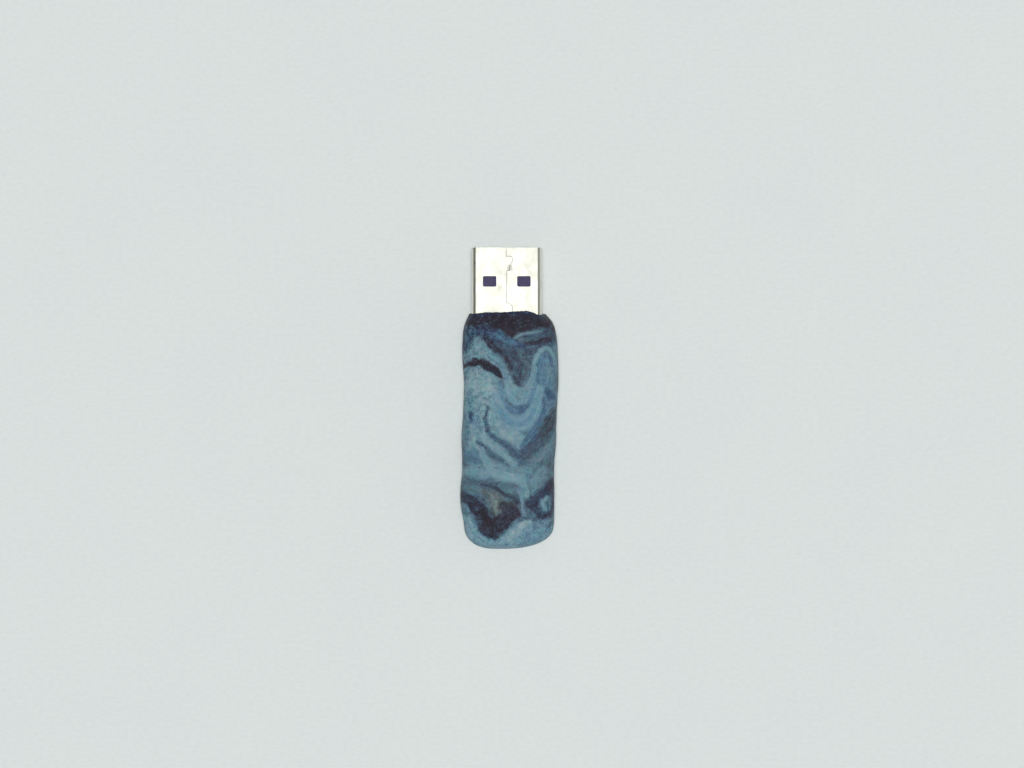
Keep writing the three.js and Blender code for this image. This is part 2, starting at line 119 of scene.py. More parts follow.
def make_world(colour, side_light):
    """The sky. Above the horizon its right is brighter by side_light and its left is darker."""
    world = bpy.data.worlds.new("studio")
    bpy.context.scene.world = world
    world.use_nodes = True
    nodes, links = world.node_tree.nodes, world.node_tree.links

    def calculate(operation, *values):
        made = nodes.new("ShaderNodeMath")
        made.operation = operation
        for socket, value in zip(made.inputs, values):
            if isinstance(value, bpy.types.NodeSocket):
                links.new(value, socket)
            else:
                socket.default_value = value
        return made.outputs[0]

    direction = nodes.new("ShaderNodeSeparateXYZ")
    links.new(nodes.new("ShaderNodeTexCoord").outputs["Generated"], direction.inputs[0])
    rightwards, _, upwards = direction.outputs
    ramp = nodes.new("ShaderNodeValToRGB")
    links.new(upwards, ramp.inputs[0])
    stops = ramp.color_ramp.elements
    while len(stops) < len(SKY):
        stops.new(0.5)
    for stop, (sine, strength) in zip(stops, SKY):
        stop.position = sine
        stop.color = (*(part * strength for part in colour), 1)
    # The tilt between the sides grows from nothing at the horizon to side_light above it.
    rising = calculate("MINIMUM", calculate("MULTIPLY", upwards, 4 * side_light), side_light)
    tilt = calculate("MAXIMUM", rising, 0.0)
    background = nodes["Background"]
    links.new(ramp.outputs[0], background.inputs["Color"])
    links.new(calculate("MULTIPLY_ADD", rightwards, tilt, 1.0), background.inputs["Strength"])


# ------------------------------------------------------------------ materials


def linear(red, green, blue):
    """A display colour, each part 0 to 255, as Blender's linear colour."""
    parts = [part / 255 for part in (red, green, blue)]
    return [p / 12.92 if p <= 0.04045 else ((p + 0.055) / 1.055) ** 2.4 for p in parts]


class Shader:
    """A material and short ways to add nodes to it.

    What is fed to a node is another node's output or a plain value.
    """

    def __init__(self, name, roughness=0.5, metallic=0.0, **settings):
        self.material = bpy.data.materials.new(name)
        self.material.use_nodes = True
        self.tree = self.material.node_tree
        self.surface = self.tree.nodes["Principled BSDF"]
        self.surface.inputs["Roughness"].default_value = roughness
        self.surface.inputs["Metallic"].default_value = metallic
        for socket, value in settings.items():
            self.surface.inputs[socket.replace("_", " ")].default_value = value

    def node(self, kind, inputs=None, **settings):
        made = self.tree.nodes.new("ShaderNode" + kind)
        for key, value in settings.items():
            setattr(made, key, value)
        for socket, value in (inputs or {}).items():
            self.feed(made.inputs[socket], value)
        return made

    def feed(self, socket, value):
        if isinstance(value, bpy.types.NodeSocket):
            self.tree.links.new(value, socket)
        else:
            socket.default_value = value

    def math(self, operation, a, b=0.0, clamp=False):
        made = self.node("Math", {0: a, 1: b}, operation=operation, use_clamp=clamp)
        return made.outputs[0]

    def millimetres(self):
        """The point in the model's own millimetres."""
        place = self.node("TexCoord").outputs["Object"]
        scaled = self.node("VectorMath", {0: place, "Scale": 1 / MM}, operation="SCALE")
        return scaled.outputs[0]

    def stretch(self, vector, scale):
        made = self.node("VectorMath", {0: vector, 1: scale}, operation="MULTIPLY")
        return made.outputs[0]

    def noise(self, vector, scale, detail=2.0, roughness=0.5):
        made = self.node("TexNoise", {
            "Vector": vector, "Scale": scale, "Detail": detail, "Roughness": roughness,
        })
        return made.outputs[0]

    def attribute(self, name):
        """A value that the mesh carries at each point."""
        return self.node("Attribute", attribute_name=name).outputs["Fac"]

    def ramp(self, value, stops):
        """The colour at value along stops of (position, colour)."""
        made = self.node("ValToRGB", {"Fac": value})
        points = made.color_ramp.elements
        while len(points) < len(stops):
            points.new(0.5)
        for point, (position, colour) in zip(points, stops):
            point.position = position
            point.color = (*colour, 1)
        return made.outputs["Color"]

    def span(self, value, low, high, to_low=0.0, to_high=1.0):
        """Takes low to high over to to_low to to_high, and holds it there beyond them."""
        made = self.node("MapRange", {
            "Value": value, "From Min": low, "From Max": high,
            "To Min": to_low, "To Max": to_high,
        })
        return made.outputs[0]

    def mix(self, share, a, b, blend="MIX"):
        """Colour a where the share is 0, and a mixed with b where it is 1."""
        made = self.node("Mix", data_type="RGBA", blend_type=blend)
        self.feed(made.inputs["Factor"], share)
        for socket, value in ((made.inputs[6], a), (made.inputs[7], b)):
            self.feed(socket, value if isinstance(value, bpy.types.NodeSocket) else (*value, 1))
        return made.outputs[2]

    def bump(self, height, strength, depth_mm, under=None):
        """A normal dented by height, on top of the normal under it."""
        inputs = {"Height": height, "Strength": strength, "Distance": depth_mm * MM}
        if under is not None:
            inputs["Normal"] = under
        return self.node("Bump", inputs).outputs[0]

    def set(self, socket, value):
        self.feed(self.surface.inputs[socket], value)


# Clay colours at each tone from dark to light, for cold blue, plain and warm olive-brown layers.
CLAY_TONES = (0.0, 0.15, 0.3, 0.45, 0.6, 0.75, 0.9, 1.0)
COLD_CLAY = (
    (20, 22, 46), (34, 46, 74), (50, 75, 104), (67, 102, 130),
    (84, 122, 148), (97, 138, 162), (113, 151, 174), (127, 162, 182),
)
PLAIN_CLAY = (
    (22, 16, 32), (39, 40, 59), (54, 71, 88), (73, 100, 116),
    (90, 123, 139), (105, 141, 154), (123, 153, 164), (138, 163, 171),
)
WARM_CLAY = (
    (24, 11, 25), (43, 32, 48), (60, 66, 68), (83, 98, 100),
    (105, 122, 122), (120, 142, 141), (138, 155, 153), (152, 165, 161),
)
# Painted sheen: the veil of reflected light on its dull surface, painted into the colour by adding
# this to each linear part.
CLAY_PAINTED_SHEEN = 0.016
# Stray pigment shifts patches of it towards lilac or teal: what each linear part is multiplied by.
LILAC = (1.11, 0.97, 1.03)
TEAL = (0.88, 1.07, 0.99)


def clay_tone(clay, place):
    """The tone that the mesh gives, with streaks along its layers, blotches, grain (at the mouth
    partly painted glints) and flecks.
    """
    drift = clay.noise(place, 0.65, detail=1)
    across = clay.node("Math", {0: clay.attribute("phase"), 1: 3.2, 2: drift},
                       operation="MULTIPLY_ADD").outputs[0]
    slow = clay.node("SeparateXYZ", {0: clay.stretch(place, (0.22, 0.22, 0.22))})
    layered = clay.node("CombineXYZ", {0: across, 1: slow.outputs[0], 2: slow.outputs[1]})
    grain_and_glints = clay.attribute("grain_and_glints")
    sources = (
        (clay.noise(layered.outputs[0], 1.1, detail=1), 0.32),
        (clay.noise(layered.outputs[0], 3.4, detail=2), 0.38),
        (clay.noise(place, 1.3, detail=3, roughness=0.72), clay.math("MULTIPLY", grain_and_glints, 0.66)),
        (clay.noise(place, 4.6, detail=1), clay.math("MULTIPLY", grain_and_glints, 0.34)),
    )
    tone = clay.attribute("tone")
    for source, amount in sources:
        centred = clay.math("SUBTRACT", source, 0.5)
        tone = clay.math("ADD", tone, clay.math("MULTIPLY", centred, amount))
    cells = clay.node("TexVoronoi", {"Vector": place, "Scale": 1.9, "Randomness": 1.0})
    specks = clay.span(cells.outputs["Distance"], 0.24, 0.12)
    patches = clay.span(clay.noise(place, 0.33, detail=2), 0.50, 0.58)
    flecks = clay.math("MULTIPLY", specks, patches)
    return clay.math("SUBTRACT", tone, clay.math("MULTIPLY", flecks, 0.30), clamp=True)


def clay_colour(clay, place):
    """The clay's colour at its tone and warmth, lifted by a painted sheen, with faint patches of
    stray pigment.
    """
    tone = clay_tone(clay, place)

    def ramp_of(colours):
        # Every colour is lifted by the painted sheen of the dull surface.
        return clay.ramp(tone, [(t, [part + CLAY_PAINTED_SHEEN for part in linear(*c)])
                                for t, c in zip(CLAY_TONES, colours)])

    uneven = clay.math("SUBTRACT", clay.noise(place, 1.5, detail=2), 0.5)
    warmth = clay.math("ADD", clay.attribute("warmth"), clay.math("MULTIPLY", uneven, 1.8))
    colour = clay.mix(clay.span(warmth, 0, -1), ramp_of(PLAIN_CLAY), ramp_of(COLD_CLAY))
    colour = clay.mix(clay.span(warmth, 0, 1), colour, ramp_of(WARM_CLAY))
    hue = clay.noise(place, 0.75, detail=4, roughness=0.6)
    colour = clay.mix(clay.span(hue, 0.50, 0.68), colour, LILAC, blend="MULTIPLY")
    return clay.mix(clay.span(hue, 0.50, 0.32), colour, TEAL, blend="MULTIPLY")


def clay_material():
    """Baked clay: marbled colour, an uneven dull sheen, pits, and fingerprints in places."""
    clay = Shader("marbled_clay", roughness=0.55, Specular_IOR_Level=0.25)
    place = clay.millimetres()
    clay.set("Base Color", clay_colour(clay, place))
    clay.set("Roughness", clay.span(clay.noise(place, 0.9, detail=4), 0.3, 0.7, 0.46, 0.64))
    prints = clay.node("TexWave", {
        "Vector": place, "Scale": 1.35, "Distortion": 5.0, "Detail": 1.0, "Detail Scale": 0.35,
    }, wave_type="RINGS", rings_direction="SPHERICAL")
    touched = clay.span(clay.noise(place, 0.16, detail=1), 0.5, 0.62)
    ridges = clay.math("MULTIPLY", prints.outputs["Fac"], touched)
    pits = clay.noise(place, 5.0, detail=4, roughness=0.65)
    pitted = clay.bump(pits, 0.5, 0.035)
    clay.set("Normal", clay.bump(ridges, 0.35, 0.02, under=pitted))
    return clay.material


# How much finer than long the brushing of the metal is, along each axis.
BRUSHING = (6.0, 0.35, 6.0)


def metal_material(name, colour, roughness, wear=0.12):
    """Drawn sheet metal: fine brushing along the part, faint rubs and a soft uneven sheen."""
    metal = Shader(name, roughness=roughness, metallic=1.0)
    place = metal.millimetres()
    brushed = metal.noise(metal.stretch(place, BRUSHING), 2.2, detail=4, roughness=0.6)
    clouds = metal.noise(place, 0.5, detail=3)
    worn = metal.noise(metal.stretch(place, (1.0, 3.0, 1.0)), 1.4, detail=5, roughness=0.7)
    dull = [part * 0.93 for part in colour]
    metal.set("Base Color", metal.mix(metal.span(worn, 0.52, 0.72), colour, dull))
    rough = metal.math("ADD", metal.span(clouds, 0.3, 0.7, roughness - wear / 2, roughness + wear),
                       metal.span(brushed, 0.35, 0.65, -0.02, 0.05))
    metal.set("Roughness", rough)
    metal.set("Normal", metal.bump(brushed, 0.12, 0.01))
    return metal.material


def plastic_material(name, colour, roughness):
    """Moulded plastic with a fine spark texture and slight unevenness of colour."""
    plastic = Shader(name, roughness=roughness)
    place = plastic.millimetres()
    clouds = plastic.noise(place, 1.2, detail=3)
    lighter = [min(part * 1.35 + 0.004, 1) for part in colour]
    plastic.set("Base Color", plastic.mix(plastic.span(clouds, 0.3, 0.7), colour, lighter))
    plastic.set("Roughness", plastic.span(clouds, 0.3, 0.7, roughness - 0.06, roughness + 0.06))
    plastic.set("Normal", plastic.bump(plastic.noise(place, 14.0, detail=2), 0.15, 0.01))
    return plastic.material


def board_material():
    """Green solder mask over copper: traces show as lighter lines, with small plated vias."""
    board = Shader("board_green", roughness=0.35, Coat_Weight=0.4, Coat_Roughness=0.15)
    place = board.millimetres()
    cells = board.node("TexBrick", {
        "Vector": place, "Scale": 1.0, "Mortar Size": 0.06, "Mortar Smooth": 0.2,
        "Brick Width": 2.1, "Row Height": 0.62,
    })
    vias = board.node("TexVoronoi", {"Vector": place, "Scale": 0.55, "Randomness": 0.7})
    ring = board.span(vias.outputs["Distance"], 0.13, 0.10)
    weave = board.noise(board.stretch(place, (5, 5, 1)), 1.0, detail=2)
    mask = board.mix(board.span(weave, 0.3, 0.7), linear(18, 74, 46), linear(26, 92, 58))
    traced = board.mix(cells.outputs["Fac"], mask, linear(46, 124, 78))
    board.set("Base Color", board.mix(ring, traced, linear(206, 172, 92)))
    board.set("Metallic", ring)
    board.set("Normal", board.bump(cells.outputs["Fac"], 0.4, 0.02))
    return board.material


def leaded_material(name, node, body_colour, body_half):
    """A chip: a dark moulding that reaches body_half (mm) from its middle, and tinned leads."""
    chip = Shader(name, roughness=0.5)
    place = chip.millimetres()
    low, high = box_mm(node)
    middle = (low + high) / 2
    away = chip.node("VectorMath", {0: place, 1: tuple(middle)}, operation="SUBTRACT").outputs[0]
    split = chip.node("SeparateXYZ", {0: away})
    reach = [chip.math("ABSOLUTE", split.outputs[i]) for i in range(2)]
    outside = chip.math("MAXIMUM", chip.math("SUBTRACT", reach[0], body_half[0]),
                        chip.math("SUBTRACT", reach[1], body_half[1]))
    lead = chip.math("GREATER_THAN", outside, 0.01)
    stipple = chip.noise(place, 9.0, detail=3)
    body = chip.mix(chip.span(stipple, 0.3, 0.7), body_colour, [c * 1.6 for c in body_colour])
    tin = chip.mix(chip.noise(place, 3.0), linear(170, 174, 176), linear(205, 208, 208))
    chip.set("Base Color", chip.mix(lead, body, tin))
    chip.set("Metallic", lead)
    chip.set("Roughness", chip.span(lead, 0, 1, 0.62, 0.34))
    chip.set("Normal", chip.bump(stipple, 0.25, 0.015))
    return chip.material


def capped_material(name, node, body_colour, cap):
    """A ceramic chip part with bright tinned ends, cap millimetres long."""
    part = Shader(name, roughness=0.4)
    place = part.millimetres()
    low, high = box_mm(node)
    middle = (low[0] + high[0]) / 2
    x = part.node("SeparateXYZ", {0: place}).outputs[0]
    away = part.math("ABSOLUTE", part.math("SUBTRACT", x, middle))
    ends = part.math("GREATER_THAN", away, (high[0] - low[0]) / 2 - cap)
    grain = part.noise(place, 6.0, detail=3)
    body = part.mix(part.span(grain, 0.3, 0.7), body_colour, [c * 1.3 for c in body_colour])
    tin = part.mix(grain, linear(168, 172, 174), linear(206, 208, 208))
    part.set("Base Color", part.mix(ends, body, tin))
    part.set("Metallic", ends)
    part.set("Roughness", part.span(grain, 0.3, 0.7, 0.32, 0.46))
    part.set("Normal", part.bump(grain, 0.2, 0.01))
    return part.material


def lamp_material():
    """The lamp on the board: clear resin, a little cloudy."""
    lamp = Shader("lamp_clear", roughness=0.18, Transmission_Weight=0.35, IOR=1.5)
    place = lamp.millimetres()
    cloud = lamp.noise(place, 3.0, detail=2)
    lamp.set("Base Color", lamp.mix(cloud, linear(226, 230, 206), linear(240, 240, 230)))
    lamp.set("Normal", lamp.bump(cloud, 0.1, 0.01))
    return lamp.material


def epoxy_material():
    """Amber glue with small bubbles under its surface."""
    epoxy = Shader("epoxy_amber", roughness=0.16, Transmission_Weight=0.4, IOR=1.52)
    place = epoxy.millimetres()
    cloud = epoxy.noise(place, 1.4, detail=4)
    bubbles = epoxy.node("TexVoronoi", {"Vector": place, "Scale": 3.0}).outputs["Distance"]
    epoxy.set("Base Color", epoxy.mix(cloud, linear(196, 168, 104), linear(222, 198, 140)))
    epoxy.set("Normal", epoxy.bump(bubbles, 0.25, 0.03))
    return epoxy.material


def paper_material():
    """Plain pale paper with faint fibres."""
    paper = Shader("paper", roughness=0.9, Specular_IOR_Level=0.2)
    place = paper.millimetres()
    fibres = paper.noise(paper.stretch(place, (1.0, 1.6, 1.0)), 1.1, detail=5, roughness=0.65)
    clouds = paper.noise(place, 0.045, detail=3)
    base = paper.mix(paper.span(clouds, 0.3, 0.7), linear(226, 231, 229), linear(222, 228, 227))
    speck = paper.mix(paper.span(fibres, 0.35, 0.65), linear(219, 225, 224), linear(229, 234, 232))
    paper.set("Base Color", paper.mix(0.5, base, speck))
    paper.set("Normal", paper.bump(fibres, 0.15, 0.03))
    return paper.material


# ------------------------------------------------------------------ smooth noise and strokes

LATTICE = np.random.RandomState(7).random_sample((24, 24, 24)) * 2 - 1


def smooth_noise(points, size, offset=0.0):
    """Smooth noise from -1 to 1, one value a point, whose lumps are about size across."""
    place = points / size + offset
    cell = np.floor(place).astype(int)
    part = place - cell
    part = part * part * (3 - 2 * part)
    total = np.zeros(len(points))
    for dx in (0, 1):
        for dy in (0, 1):
            for dz in (0, 1):
                corner = (cell + (dx, dy, dz)) % len(LATTICE)
                share = np.ones(len(points))
                for axis, near in enumerate((dx, dy, dz)):
                    share *= part[:, axis] if near else 1 - part[:, axis]
                total += share * LATTICE[corner[:, 0], corner[:, 1], corner[:, 2]]
    return total


def smooth_line(knots, steps=5):
    """Points of a smooth curve through the knots, each a tuple of numbers."""
    knots = np.array(knots, float)
    padded = np.vstack([2 * knots[0] - knots[1], knots, 2 * knots[-1] - knots[-2]])
    line = []
    for a, b, c, d in zip(padded, padded[1:], padded[2:], padded[3:]):
        for t in np.arange(steps) / steps:
            line.append(0.5 * (2 * b + (c - a) * t + (2 * a - 5 * b + 4 * c - d) * t ** 2
                               + (3 * b - a - 3 * c + d) * t ** 3))
    return np.array(line + [knots[-1]])


def stroke_cover(points, knots, softness, wobble):
    """How much a stroke covers each point, and how far the point is from its middle line.

    Knots are (x, y, half width). Cover is 1 in the middle of the stroke and 0 outside it.
    """
    cover = np.zeros(len(points))
    offset = np.zeros(len(points))
    line = smooth_line(knots)
    reach = line[:, 2].max() * (1.4 + softness) + 0.1
    near = np.flatnonzero(
        (points[:, 0] > line[:, 0].min() - reach) & (points[:, 0] < line[:, 0].max() + reach)
        & (points[:, 1] > line[:, 1].min() - reach) & (points[:, 1] < line[:, 1].max() + reach))
    if not len(near):
        return cover, offset
    place = points[near]
    best = np.full(len(near), 99.0)
    middle = np.full(len(near), 99.0)
    for a, b in zip(line, line[1:]):
        run = b[:2] - a[:2]
        along = np.clip((place - a[:2]) @ run / max(run @ run, 1e-9), 0, 1)
        gap = np.hypot(place[:, 0] - a[0] - along * run[0], place[:, 1] - a[1] - along * run[1])
        width = np.maximum(a[2] + along * (b[2] - a[2]), 0.02)
        best = np.minimum(best, gap / width)
        middle = np.minimum(middle, gap)
    best *= wobble[near]
    edge = np.clip((1 + softness - best) / (2 * softness), 0, 1)
    cover[near] = edge * edge * (3 - 2 * edge)
    offset[near] = middle
    return cover, offset


# ------------------------------------------------------------------ the clay's marbling

# Each stroke of colour is laid over the ones before it: its tone (0 dark, 1 light), its warmth
# (-1 blue, 1 olive or brown), how soft its edge is, and its knots: how far across from the middle
# of the top, how far behind the mouth, and its half width there, in millimetres.
STROKES = [
    # broad base regions
    (0.78, 0.1, 0.7, [(-5.2, 11.5, 3.2), (-5.2, 18, 3.5), (-4.6, 23, 3)]),
    (0.57, -0.2, 0.7, [(5, 12, 3), (6, 16, 2)]),
    (0.48, 0.15, 0.7, [(7.5, 20, 2), (6.4, 24, 3), (6.4, 27.5, 2.5)]),
    # central dark wedge of slate and olive
    (0.32, -0.25, 0.4, [(-3.4, 4.4, 1.0), (0, 6.4, 1.7), (3, 5.4, 2.0), (6.5, 4.0, 1.5),
                        (8.6, 3.4, 1.5)]),
    (0.31, -0.1, 0.35, [(0.6, 7.0, 1.9), (2.1, 8.4, 1.9), (2.0, 10.0, 1.4), (1.4, 12.0, 0.6)]),
    (0.27, 0.0, 0.6, [(0.9, 10.6, 0.5), (1.4, 11.9, 0.3)]),
    (0.42, 0.3, 0.8, [(1.9, 7.0, 0.6), (3.2, 8.6, 0.7), (2.6, 10.4, 0.5)]),
    (0.18, 0.3, 0.7, [(2.6, 4.9, 0.2), (4.6, 4.8, 0.5), (7.2, 4.0, 0.5)]),
    (0.44, 0.0, 0.8, [(1.8, 4.8, 0.3), (3.0, 4.5, 0.35)]),
    # denim blue swirl above it
    (0.30, -0.8, 0.5, [(-7.2, 4.2, 0.5), (-5.8, 3.1, 0.5), (-3.4, 3.2, 0.7), (-1.6, 4.1, 0.9),
                       (0.2, 5.0, 0.8), (2.6, 5.5, 0.4)]),
    (0.42, -0.8, 0.7, [(-2.6, 3.6, 0.2), (-0.4, 4.9, 0.35), (1.2, 5.3, 0.35)]),
    (0.18, 0.0, 0.6, [(-4.1, 4.1, 0.25), (-3.2, 5.2, 0.45), (-1.8, 6.3, 0.45), (-0.6, 7.5, 0.35),
                      (0.4, 9.2, 0.3)]),
    # light streak on the right of the dark V
    (0.68, 0.3, 0.8, [(0.9, 4.4, 0.1), (1.7, 3.9, 0.2), (2.6, 3.35, 0.28), (3.8, 3.0, 0.22),
                      (5.2, 2.8, 0.06)]),
    # near-black band at the mouth
    (0.03, 0.3, 0.3, [(-7.6, 1.4, 0.7), (-5.6, 0.9, 1.2), (-3.0, 0.9, 1.5), (-0.6, 1.4, 1.7),
                      (0.7, 1.8, 1.8), (2.6, 1.0, 1.6), (4.8, 0.9, 1.2), (6.8, 1.3, 1.0),
                      (8.4, 2.4, 0.6)]),
    (0.02, 0.5, 0.4, [(0.0, 2.2, 1.5), (0.4, 3.2, 0.9), (0.5, 4.1, 0.3)]),
    (0.17, -0.6, 0.8, [(-7.0, 2.4, 0.4), (-4.4, 2.2, 0.5), (-2.4, 2.7, 0.35)]),
    (0.07, -0.9, 0.7, [(-7.0, 0.6, 0.4), (-3.0, 0.0, 0.35), (0, -0.1, 0.35), (2.5, -0.2, 0.4),
                       (5.4, 0.4, 0.35)]),
    (0.24, 0.0, 0.7, [(7.4, 2.2, 0.5), (8.2, 4.0, 0.5)]),
    # left edge
    (0.22, -0.4, 0.6, [(-8.2, 1.8, 0.7), (-8.5, 4.2, 0.8), (-8.7, 7.0, 0.7), (-8.9, 9.0, 0.4)]),
    (0.28, -0.7, 0.7, [(-7.4, 3.0, 0.5), (-7.0, 4.3, 0.7), (-7.8, 6.2, 0.5)]),
    # light peak on the left and the long light ribbon that runs down from it, round a U and up
    (0.70, 0.0, 0.35, [(-5.3, 4.0, 0.25), (-5.3, 5.2, 0.75), (-5.4, 7.0, 1.4)]),
    (0.74, 0.0, 0.3, [(-5.0, 6.4, 1.3), (-3.4, 7.3, 0.95), (-1.6, 8.8, 0.75), (-0.4, 10.3, 0.65),
                      (0.2, 12.2, 0.8), (1.7, 13.5, 0.9), (3.2, 12.8, 0.7), (4.1, 11.0, 0.5),
                      (4.4, 8.8, 0.42), (4.9, 6.9, 0.4), (5.8, 5.8, 0.4), (6.9, 5.9, 0.4),
                      (7.7, 6.8, 0.35), (8.2, 8.4, 0.35)]),
    (0.66, 0.0, 0.7, [(-8.8, 7.4, 0.7), (-6.6, 7.2, 0.7)]),
    (0.80, 0.1, 0.8, [(-5.1, 5.0, 0.2), (-4.9, 6.2, 0.4)]),
    (0.62, -0.4, 0.8, [(-3.7, 7.3, 0.2), (-2.0, 8.4, 0.22), (-0.6, 9.8, 0.2), (-0.1, 11.6, 0.2)]),
    # inside of the right-hand loop
    (0.60, -0.6, 0.5, [(6.3, 7.4, 0.7), (6.6, 9.0, 0.9), (6.4, 11.4, 1.2)]),
    (0.46, -0.9, 0.6, [(4.9, 11.6, 0.2), (5.2, 9.6, 0.28), (5.5, 7.7, 0.3), (6.3, 6.8, 0.3),
                       (7.1, 7.5, 0.25), (7.4, 9.0, 0.2)]),
    (0.64, 0.1, 0.8, [(6.6, 8.6, 0.4), (6.9, 10.6, 0.5)]),
    # brown-black arc
    (0.11, 0.4, 0.5, [(-9.2, 9.2, 0.3), (-7.4, 8.6, 0.35), (-6.0, 8.35, 0.5), (-4.7, 8.45, 0.6),
                      (-3.5, 8.8, 0.62), (-2.4, 9.4, 0.55), (-1.6, 10.1, 0.4),
                      (-0.95, 10.8, 0.15)]),
    (0.02, -0.5, 0.7, [(-4.0, 8.9, 0.2), (-3.0, 9.2, 0.4), (-2.0, 9.9, 0.35), (-1.4, 10.4, 0.2)]),
    # light field under the arc
    (0.86, 0.15, 0.6, [(-7.8, 12.6, 1.1), (-5.4, 11.2, 1.0), (-3.8, 12.0, 1.2),
                       (-3.0, 13.6, 1.2)]),
    (0.88, 0.2, 0.8, [(-4.8, 11.3, 0.3), (-4.3, 12.5, 0.45), (-3.3, 13.5, 0.5)]),
    (0.64, 0.2, 0.7, [(-4.8, 14.3, 0.25), (-3.6, 14.7, 0.35), (-2.8, 15.6, 0.3)]),
    (0.60, -0.5, 0.8, [(-6.9, 13.2, 0.4), (-6.6, 15.6, 0.4)]),
    (0.72, -0.2, 0.7, [(-5.6, 16.5, 0.6), (-5.3, 19.0, 0.6)]),
    # nested U's in the middle
    (0.76, -0.2, 0.35, [(-2.4, 14.4, 1.1), (-1.6, 17.0, 1.3), (0.2, 18.6, 1.4), (1.6, 18.9, 1.5),
                        (3.4, 17.8, 1.4), (4.9, 15.4, 1.0), (5.4, 12.8, 0.8)]),
    (0.75, -0.3, 0.5, [(-0.2, 13.4, 0.6), (0.9, 15.0, 0.6), (2.4, 14.8, 0.6), (3.6, 13.4, 0.4)]),
    (0.66, -0.8, 0.7, [(-1.6, 16.6, 0.35), (-0.4, 18.2, 0.5), (1.4, 19.0, 0.5), (3.0, 18.4, 0.4),
                       (4.4, 16.4, 0.3)]),
    (0.60, -0.7, 0.5, [(-1.4, 11.9, 0.3), (-1.2, 13.8, 0.35), (-0.3, 15.8, 0.4), (1.4, 16.7, 0.5),
                       (3.0, 16.0, 0.45), (4.0, 14.2, 0.35), (4.5, 12.0, 0.3)]),
    (0.44, -0.9, 0.6, [(-0.3, 16.1, 0.3), (0.8, 16.4, 0.6), (2.0, 16.5, 0.65), (3.1, 15.6, 0.35)]),
    (0.78, 0.1, 0.5, [(-1.8, 18.6, 0.6), (-0.6, 20.4, 0.9), (0.9, 21.2, 0.9), (2.0, 21.4, 0.6),
                      (1.8, 22.6, 0.4)]),
    (0.88, 0.2, 0.9, [(-2.2, 18.6, 0.3), (-1.1, 20.3, 0.4), (0.2, 21.2, 0.4)]),
    # outer blue U and the dark slope beside it
    (0.34, 0.0, 0.4, [(9.4, 15.9, 1.1), (7.5, 18.2, 1.4), (6.2, 20.2, 1.4), (4.6, 22.0, 1.3),
                      (3.1, 23.6, 1.15), (2.2, 25.0, 0.45)]),
    (0.27, 0.3, 0.8, [(7.8, 17.0, 0.6), (6.9, 18.9, 0.7), (5.9, 20.6, 0.5)]),
    (0.32, -0.5, 0.7, [(4.5, 21.0, 0.4), (3.3, 22.4, 0.45), (2.5, 23.6, 0.4)]),
    (0.46, -0.8, 0.6, [(6.1, 14.2, 0.3), (5.9, 16.6, 0.4), (4.9, 18.7, 0.5), (3.8, 20.2, 0.55),
                       (2.8, 21.4, 0.5), (2.1, 22.6, 0.3)]),
    (0.32, -0.8, 0.7, [(6.5, 12.7, 0.35), (7.0, 13.6, 0.6), (7.8, 14.2, 0.5)]),
    (0.50, -0.4, 0.7, [(6.2, 15.6, 0.4), (7.4, 15.3, 0.5), (8.3, 15.0, 0.4)]),
    (0.55, 0.2, 0.7, [(8.2, 20.8, 0.6), (6.8, 22.4, 0.8), (5.6, 23.8, 0.6), (4.8, 25.2, 0.5)]),
    (0.42, 0.0, 0.7, [(8.4, 22.8, 0.5), (7.4, 25.0, 0.6), (8.4, 26.6, 0.5)]),
    # dark lines and light diagonals on the left
    (0.37, -0.5, 0.8, [(-4.0, 15.9, 0.24), (-4.1, 18.0, 0.33), (-3.7, 19.8, 0.4),
                       (-2.7, 20.8, 0.44), (-1.3, 21.8, 0.5), (0.1, 23.0, 0.55), (1.4, 24.2, 0.55),
                       (2.5, 25.4, 0.3)]),
    (0.78, 0.0, 0.45, [(-5.4, 20.3, 0.5), (-3.8, 21.6, 0.6), (-2.2, 23.0, 0.55),
                       (-0.7, 24.4, 0.55), (0.9, 25.6, 0.6)]),
    (0.37, -0.3, 1.0, [(-5.4, 21.9, 0.3), (-3.9, 23.1, 0.5), (-2.6, 24.4, 0.58),
                       (-1.5, 25.4, 0.55), (-0.1, 26.4, 0.25)]),
    (0.44, -0.8, 0.8, [(-6.6, 16.9, 0.4), (-6.3, 18.1, 0.45)]),
    (0.52, -0.2, 0.8, [(-7.9, 17.5, 0.5), (-7.2, 19.0, 0.5), (-7.3, 21.5, 0.6)]),
    (0.52, -0.6, 0.7, [(-8.0, 24.2, 0.7), (-6.0, 24.6, 1.0), (-5.0, 25.4, 0.5)]),
    (0.74, 0.0, 0.6, [(-4.6, 23.2, 0.3), (-4.5, 24.4, 0.5)]),
    # light field in the lower third
    (0.76, 0.0, 0.4, [(-4.4, 24.9, 0.4), (-3.2, 26.2, 1.0), (-0.8, 27.2, 1.2), (1.8, 28.0, 1.2),
                      (2.6, 30.4, 0.9)]),
    (0.74, -0.1, 0.5, [(-8.6, 27.0, 0.5), (-6.2, 26.8, 0.7), (-4.0, 27.2, 0.8)]),
    (0.64, 0.0, 0.7, [(-2.2, 26.3, 0.3), (0.2, 26.7, 0.5), (2.0, 26.6, 0.6), (3.6, 26.8, 0.7)]),
    (0.64, 0.1, 0.7, [(4.4, 29.0, 1.0), (5.8, 26.9, 0.7)]),
    (0.88, -0.1, 0.8, [(-0.6, 27.4, 0.4), (0.8, 28.1, 0.5), (2.0, 28.3, 0.3)]),
    (0.48, 0.0, 0.7, [(2.6, 30.2, 0.2), (1.2, 29.6, 0.35), (-0.2, 29.9, 0.3)]),
    # dark line, olive patch and the big brown-black V
    (0.50, 0.2, 0.5, [(-8.8, 29.4, 0.7), (-6.0, 29.6, 0.8), (-4.6, 30.6, 0.8)]),
    (0.44, 0.9, 0.5, [(-4.4, 30.2, 0.6), (-3.0, 30.8, 1.0), (-2.4, 32.2, 1.3), (-2.2, 33.6, 0.9)]),
